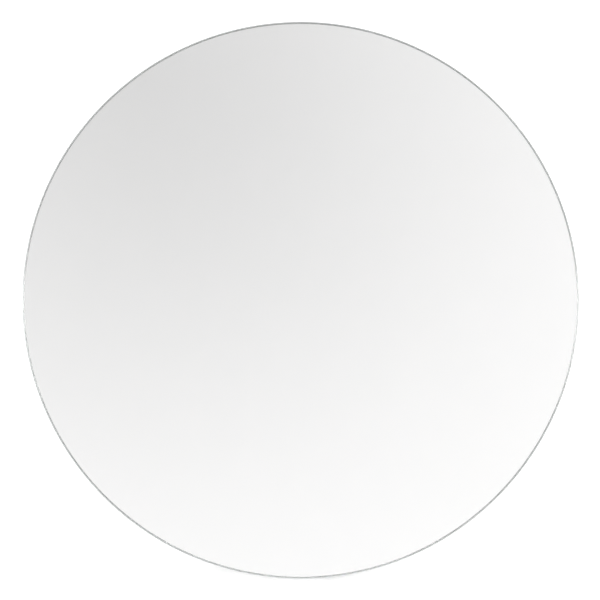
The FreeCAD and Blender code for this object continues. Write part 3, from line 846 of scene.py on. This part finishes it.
def build_bracket():
    """Base plate, slotted for the arm, and two ears whose backs slope down to it."""
    low, high = box_in(PIVOT, "stay_bracket")
    half, slot, slot_end = high.x, 1.7, 4.8
    base = [(-half, low.z), (-slot, low.z), (-slot, slot_end), (slot, slot_end), (slot, low.z),
            (half, low.z), (half, high.z), (-half, high.z)]
    holes = [circle(0, z, SCREW_HOLE, 32) for z in (9.5, 18)]
    outline = rounded(base, (2, 0.2, 1.5, 1.5, 0.2, 2, 2, 2))
    plate = slab("Y", low.y, low.y + SHEET, outline, holes)
    eye, slope, steps = high.y, math.radians(60), 20
    inside = low.y + 0.5
    ear = [(inside, -eye), (0, -eye)]
    for i in range(1, steps + 1):
        t = -math.pi / 2 + (math.pi / 2 + slope) * i / steps
        ear.append((eye * math.cos(t), eye * math.sin(t)))
    foot = eye * math.sin(slope) + (eye * math.cos(slope) - inside) / math.tan(slope)
    ear.append((inside, foot))
    ears = [slab("X", x, x + SHEET, ear, [circle(0, 0, PIVOT_PIN + FIT, 32)]) for x in EAR_STARTS]
    piece("bracket", "stay_bracket", combined("UNION", plate, *ears), PIVOT, NICKEL)


def build_arm():
    """Flat arm with round ends, the bracket's pin through the upper and the slide pin through the lower."""
    low, high = box_in(STAY, "stay_arm")
    half = high.y
    length = -(low.z + half)
    holes = [circle(0, 0, PIVOT_PIN + 2 * FIT, 40), circle(0, -length, SLIDE_PIN + FIT, 40)]
    mesh = slab("X", low.x, high.x, stadium(0, -length, 0, half), holes, edge=0.18, rings=3)
    piece("arm", "stay_arm", mesh, STAY, NICKEL, "stay")


def build_guide():
    """Forked plate on the leg and two ears, each with a long slot for the slide pin."""
    low, high = box_in(LEG, "slide_guide")
    half, gap, web = high.x, 2.4, low.z + 3
    fork = [(-half, low.z), (half, low.z), (half, high.z), (gap, high.z), (gap, web), (-gap, web),
            (-gap, high.z), (-half, high.z)]
    holes = [circle(x, z, RIVET_HOLE, 32) for x, z in GUIDE_RIVETS]
    plate = slab("Y", high.y - SHEET, high.y, rounded(fork, (3, 3, 3, 0.6, 1, 1, 0.6, 3)), holes)
    slot_start, slot_end = -(SLIDE_AXIS - HINGE_AXIS).length / MM, -140.2
    slot = stadium(0, slot_end, slot_start, SLIDE_PIN + 2 * FIT)
    ear = rounded(rectangle(low.y, high.y - 0.2, -146, -116), (2, 0.3, 0.3, 2))
    ears = [slab("X", x, x + SHEET, ear, [slot]) for x in EAR_STARTS]
    piece("guide", "slide_guide", combined("UNION", plate, *ears), LEG, NICKEL, "leg")


# ---- heels ---------------------------------------------------------------------------------------

def build_heel(side):
    """Plate screwed to the board, bent out to a sole that lies on the pad, with a pocket in each side."""
    node = f"{side}_heel_foot"
    low, high = box_in(HEAD, node)
    plate_rear = low.y + 3
    bend_inside, bend_outside = -123, -130.5
    pad_low, pad_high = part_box(f"{side}_heel_pad")
    back = HEAD.inverted()
    sole_front = back @ Vector((0, pad_low.y, pad_high.z)) / MM
    sole_rear = back @ Vector((0, pad_high.y, pad_high.z)) / MM
    slope = (sole_rear.z - sole_front.z) / (sole_rear.y - sole_front.y)
    past_pad = 0.4
    front = (sole_front.y - past_pad, sole_front.z - past_pad * slope)
    rear = (high.y, sole_rear.z + (high.y - sole_rear.y) * slope)
    corners = [(low.y, high.z), (plate_rear, high.z), (plate_rear, bend_inside), rear, front,
               (low.y, bend_outside)]
    outline = rounded(corners, (0.5, 1.2, 1.2, 0.7, 0.7, 1.2))
    body = slab("X", low.x, high.x, outline, edge=0.35, rings=3)
    past, deep = 1, 0.9
    pocket = rounded([(plate_rear - 1, bend_inside - 1.6), (rear[0] - 2.6, rear[1] + 1.4),
                      (front[0] + 0.6, front[1] + 1.8), (low.y + 1.8, bend_outside + 1.5)], 0.6, 5)
    cutters = [slab("X", low.x - past, low.x + deep, pocket, edge=0.2),
               slab("X", high.x - deep, high.x + past, pocket, edge=0.2)]
    start, end = low.y - past, plate_rear + past
    hole = lathe("Y", [(0, start), (SCREW_HOLE, start), (SCREW_HOLE, end), (0, end)], 32)
    for z in (-110, -117.5):
        cutters.append(moved(hole, (low.x + high.x) / 2, 0, z))
    piece(f"{side}_foot", node, combined("DIFFERENCE", body, *cutters), HEAD, ABS)


def build_pad(side):
    """Rubber pad that stands level on the counter."""
    node = f"{side}_heel_pad"
    level = Matrix.Translation(middle(node))
    low, high = box_in(level, node)
    box = rectangle(low.x, high.x, low.y, high.y)
    mesh = slab("Z", low.z, high.z - ROOM / 2, rounded(box, 0.9), edge=0.45, rings=3)
    piece(f"{side}_pad", node, mesh, level, RUBBER)


# ---- studio --------------------------------------------------------------------------------------

FLOOR_HALF = 12.0       # studio lengths are in metres
FLOOR_LIFT = 0.66       # extra white of the floor in the camera's eye
DISTANCE = 1.30         # camera to the middle of the glass front
DISC_SHARE = 0.9290     # width of the glass in the picture's width
AIM_ACROSS = -0.00036   # middle of the picture from the middle of the glass
AIM_UP = 0.00013
DARK_ACROSS = -0.0866   # middle of the soft grey patch that the mirror shows, on the glass
DARK_UP = 0.1241
PATCH_REACH = 0.3235    # how far across the glass the patch takes to fade to white
PATCH_DARK = 0.694      # grey that the mirror shows at the patch's middle, and how much lighter
PATCH_RISE = 0.30       # it is where the patch ends
GIVEN_BACK = 0.945      # share of the light that glass and silver give back


def build_floor():
    """Pale floor, lifted to a clean white where the camera sees it and only softly bright elsewhere."""
    look = Look("pale_floor", roughness=0.8, emission_color=(1.0, 1.0, 1.0))
    look.place_from("ShaderNodeTexCoord", "Object")
    look.colour(look.ramp(look.noise(3, 3), (0.3, (0.71, 0.71, 0.71)), (0.7, (0.73, 0.73, 0.73))))
    lift = look.math("MULTIPLY", look.seen(), FLOOR_LIFT)
    look.links.new(lift, look.shader.inputs["Emission Strength"])
    half = FLOOR_HALF
    mesh = bpy.data.meshes.new("floor")
    corners = [(x, y, 0) for x, y in rectangle(-half, half, -half, half)]
    mesh.from_pydata(corners, [], [(0, 1, 2, 3)])
    floor = bpy.data.objects.new("floor", mesh)
    mesh.materials.append(look.material)
    bpy.context.scene.collection.objects.link(floor)


def softbox(name, place, aim, width, height, radiance):
    """Rectangular soft light, as bright from every side, that the camera does not see itself."""
    data = bpy.data.lights.new(name, "AREA")
    data.shape = "RECTANGLE"
    data.size, data.size_y = width, height
    data.energy = radiance * width * height * math.pi
    lamp = bpy.data.objects.new(name, data)
    bpy.context.scene.collection.objects.link(lamp)
    lamp.location = place
    lamp.visible_camera = False
    lamp.rotation_euler = (Vector(aim) - Vector(place)).to_track_quat("-Z", "Y").to_euler()


def build_world():
    """White backdrop in the camera's eye, and a soft grey patch behind the camera for the mirror to show.

    The rest of the surroundings, which light the object, is paler overhead and in front.
    """
    world = bpy.data.worlds.new("studio")
    bpy.context.scene.world = world
    world.use_nodes = True
    look = Pattern(world.node_tree)
    look.place_from("ShaderNodeTexCoord", "Generated")
    normal = -(HEAD.to_3x3() @ Vector((0, 1, 0)))
    up = HEAD.to_3x3() @ Vector((0, 0, 1))
    patch = (normal * DISTANCE + ACROSS * DARK_ACROSS + up * DARK_UP).normalized()

    # The grey patch fades halfway between straight and smooth.
    share = look.spread(look.math("ARCCOSINE", look.towards(patch)), 0, math.atan(PATCH_REACH / DISTANCE))
    square = look.math("MULTIPLY", share, share)
    smooth = look.math("MULTIPLY", square, look.math("SUBTRACT", 3.0, look.math("MULTIPLY", share, 2.0)))
    fade = look.math("MULTIPLY", look.math("ADD", share, smooth), 0.5)
    grey = look.math("MULTIPLY_ADD", fade, PATCH_RISE / GIVEN_BACK, PATCH_DARK / GIVEN_BACK)

    # Round about it the studio is darker near the floor and drifts a little.
    drift = look.spread(look.noise(2.4, 0), 0.3, 0.7, 0.72, 1.28)
    height = look.split()[2]
    round_about = look.math("MULTIPLY", look.spread(height, -0.05, 0.8, 0.30, 0.85), drift)
    ahead = look.towards(normal)
    round_about = look.math("ADD", round_about, look.spread(ahead, 0.1, 0.85, 0, 0.32))
    blend_start, blend_end = math.radians(36), math.radians(16)
    facing = look.spread(ahead, math.cos(blend_start), math.cos(blend_end))
    level = look.mix(facing, round_about, grey)

    background = look.nodes.new("ShaderNodeBackground")
    look.links.new(look.mix(look.seen(), level, (1.0, 1.0, 1.0)), background.inputs["Color"])
    output = look.nodes.new("ShaderNodeOutputWorld")
    look.links.new(background.outputs[0], output.inputs["Surface"])


def build_camera():
    """Camera on the glass's own axis, so that the disc is a true circle."""
    radius = box_in(HEAD, "mirror_glass")[1].x * MM
    data = bpy.data.cameras.new("camera")
    data.sensor_width = 36
    data.lens = data.sensor_width * DISTANCE / (2 * radius / DISC_SHARE)
    data.clip_end = 100
    camera = bpy.data.objects.new("camera", data)
    bpy.context.scene.collection.objects.link(camera)
    rear = HEAD.to_3x3() @ Vector((0, 1, 0))
    camera.rotation_euler = rear.to_track_quat("-Z", "Y").to_euler()
    offset = HEAD.to_3x3() @ Vector((AIM_ACROSS, 0, AIM_UP))
    camera.location = HEAD.translation - rear * DISTANCE + offset
    bpy.context.scene.camera = camera


# ---- everything ----------------------------------------------------------------------------------

build_camera()
build_glass()
build_coatings()
build_tape()
build_board()
build_dots()
build_board_leaf()
build_leg_leaf()
build_pin("pin_of_hinge", "hinge_pin", HINGE, HINGE_PIN)
build_screws("board_leaf_screws", "hinge_leaf_screws", HINGE, 3.2)
build_screws("bracket_screws", "stay_bracket_screws", PIVOT, 2.6)
build_screws("foot_screws", "heel_screws", HEAD, 3.2)
build_rivets("leg_leaf_rivets", "hinge_leaf_rivets")
build_rivets("guide_rivets", "slide_guide_rivets")
build_leg()
build_boot()
build_bracket()
build_pin("pin_of_stay", "stay_pivot_pin", PIVOT, PIVOT_PIN)
build_washers("pivot_washers", "stay_pivot_washers", PIVOT, PIVOT_PIN + FIT)
build_arm()
stay_length = (SLIDE_AXIS - STAY_AXIS).length / MM
build_pin("pin_of_slide", "slide_pin", STAY, SLIDE_PIN, "stay", stay_length)
build_washers("guide_washers", "slide_washers", STAY, SLIDE_PIN + FIT, "stay", stay_length)
build_guide()
for side in ("left", "right"):
    build_heel(side)
    build_pad(side)
build_floor()
build_world()
softbox("front_top", (0, -0.9, 1.9), (0, 0, 0.1), 1.5, 1.2, 4.2)
softbox("rear_key", (1.25, 1.0, 0.85), (0, 0, 0.13), 0.6, 0.8, 6.0)
# A strip on each side brightens the ground edge there.
for x in (-1.6, 1.6):
    softbox("side_strip", (x, -0.1, 0.4), (0, 0, 0.14), 0.5, 1.1, 7.5)
bpy.context.scene.view_settings.view_transform = "Standard"
